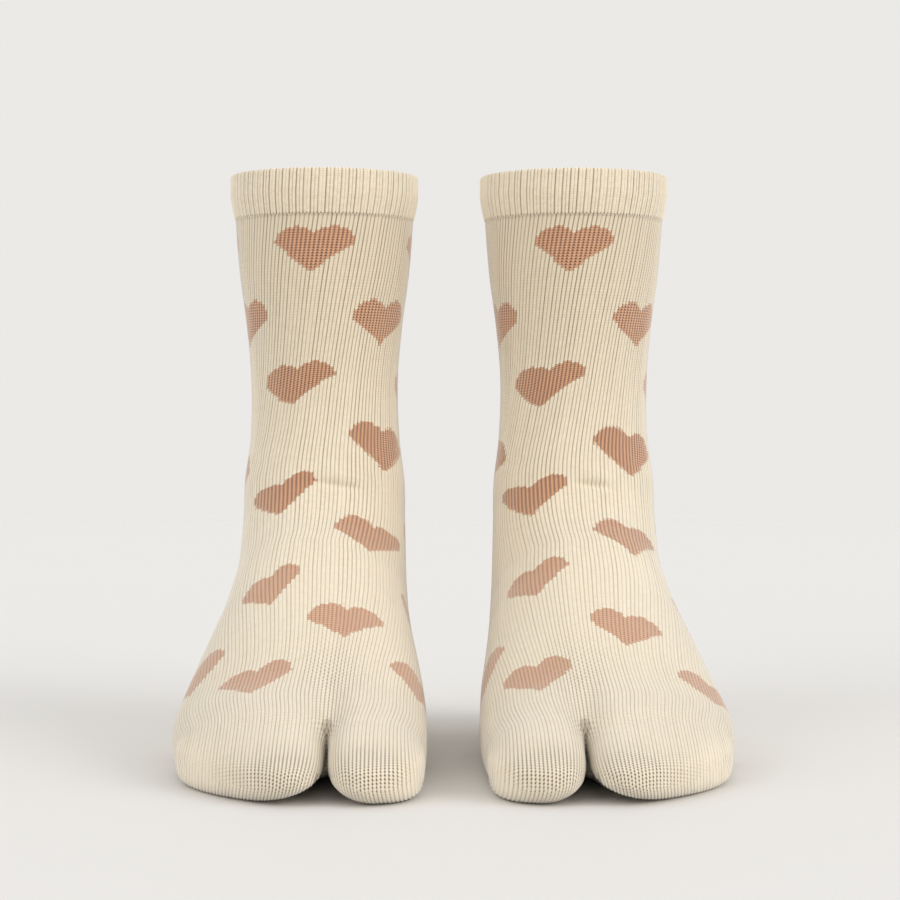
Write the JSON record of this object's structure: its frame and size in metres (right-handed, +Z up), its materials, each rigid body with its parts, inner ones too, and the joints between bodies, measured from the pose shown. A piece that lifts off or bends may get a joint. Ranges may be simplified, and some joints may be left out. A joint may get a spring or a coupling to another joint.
{
  "type": "pair of split-toe socks",
  "caption": "Pair of cream knitted crew socks with split toes, tan heart motifs and ribbed cuffs, standing filled out as if worn.",
  "frame": {"origin": "on the floor, in the middle of the pair's bounding box", "axes": "+Z up along the legs, -Y towards the toes, +X towards the left foot's sock, square to the line of the feet"},
  "size_m": [0.2198, 0.242, 0.245],
  "materials": {
    "knit": "fine cream stocking stitch with tan knitted hearts, matt",
    "rib": "cream one-by-one rib, matt"
  },
  "bodies": {
    "root": {"left_sock_body": "knit", "left_sock_cuff": "rib", "right_sock_body": "knit", "right_sock_cuff": "rib"}
  },
  "joints": []
}
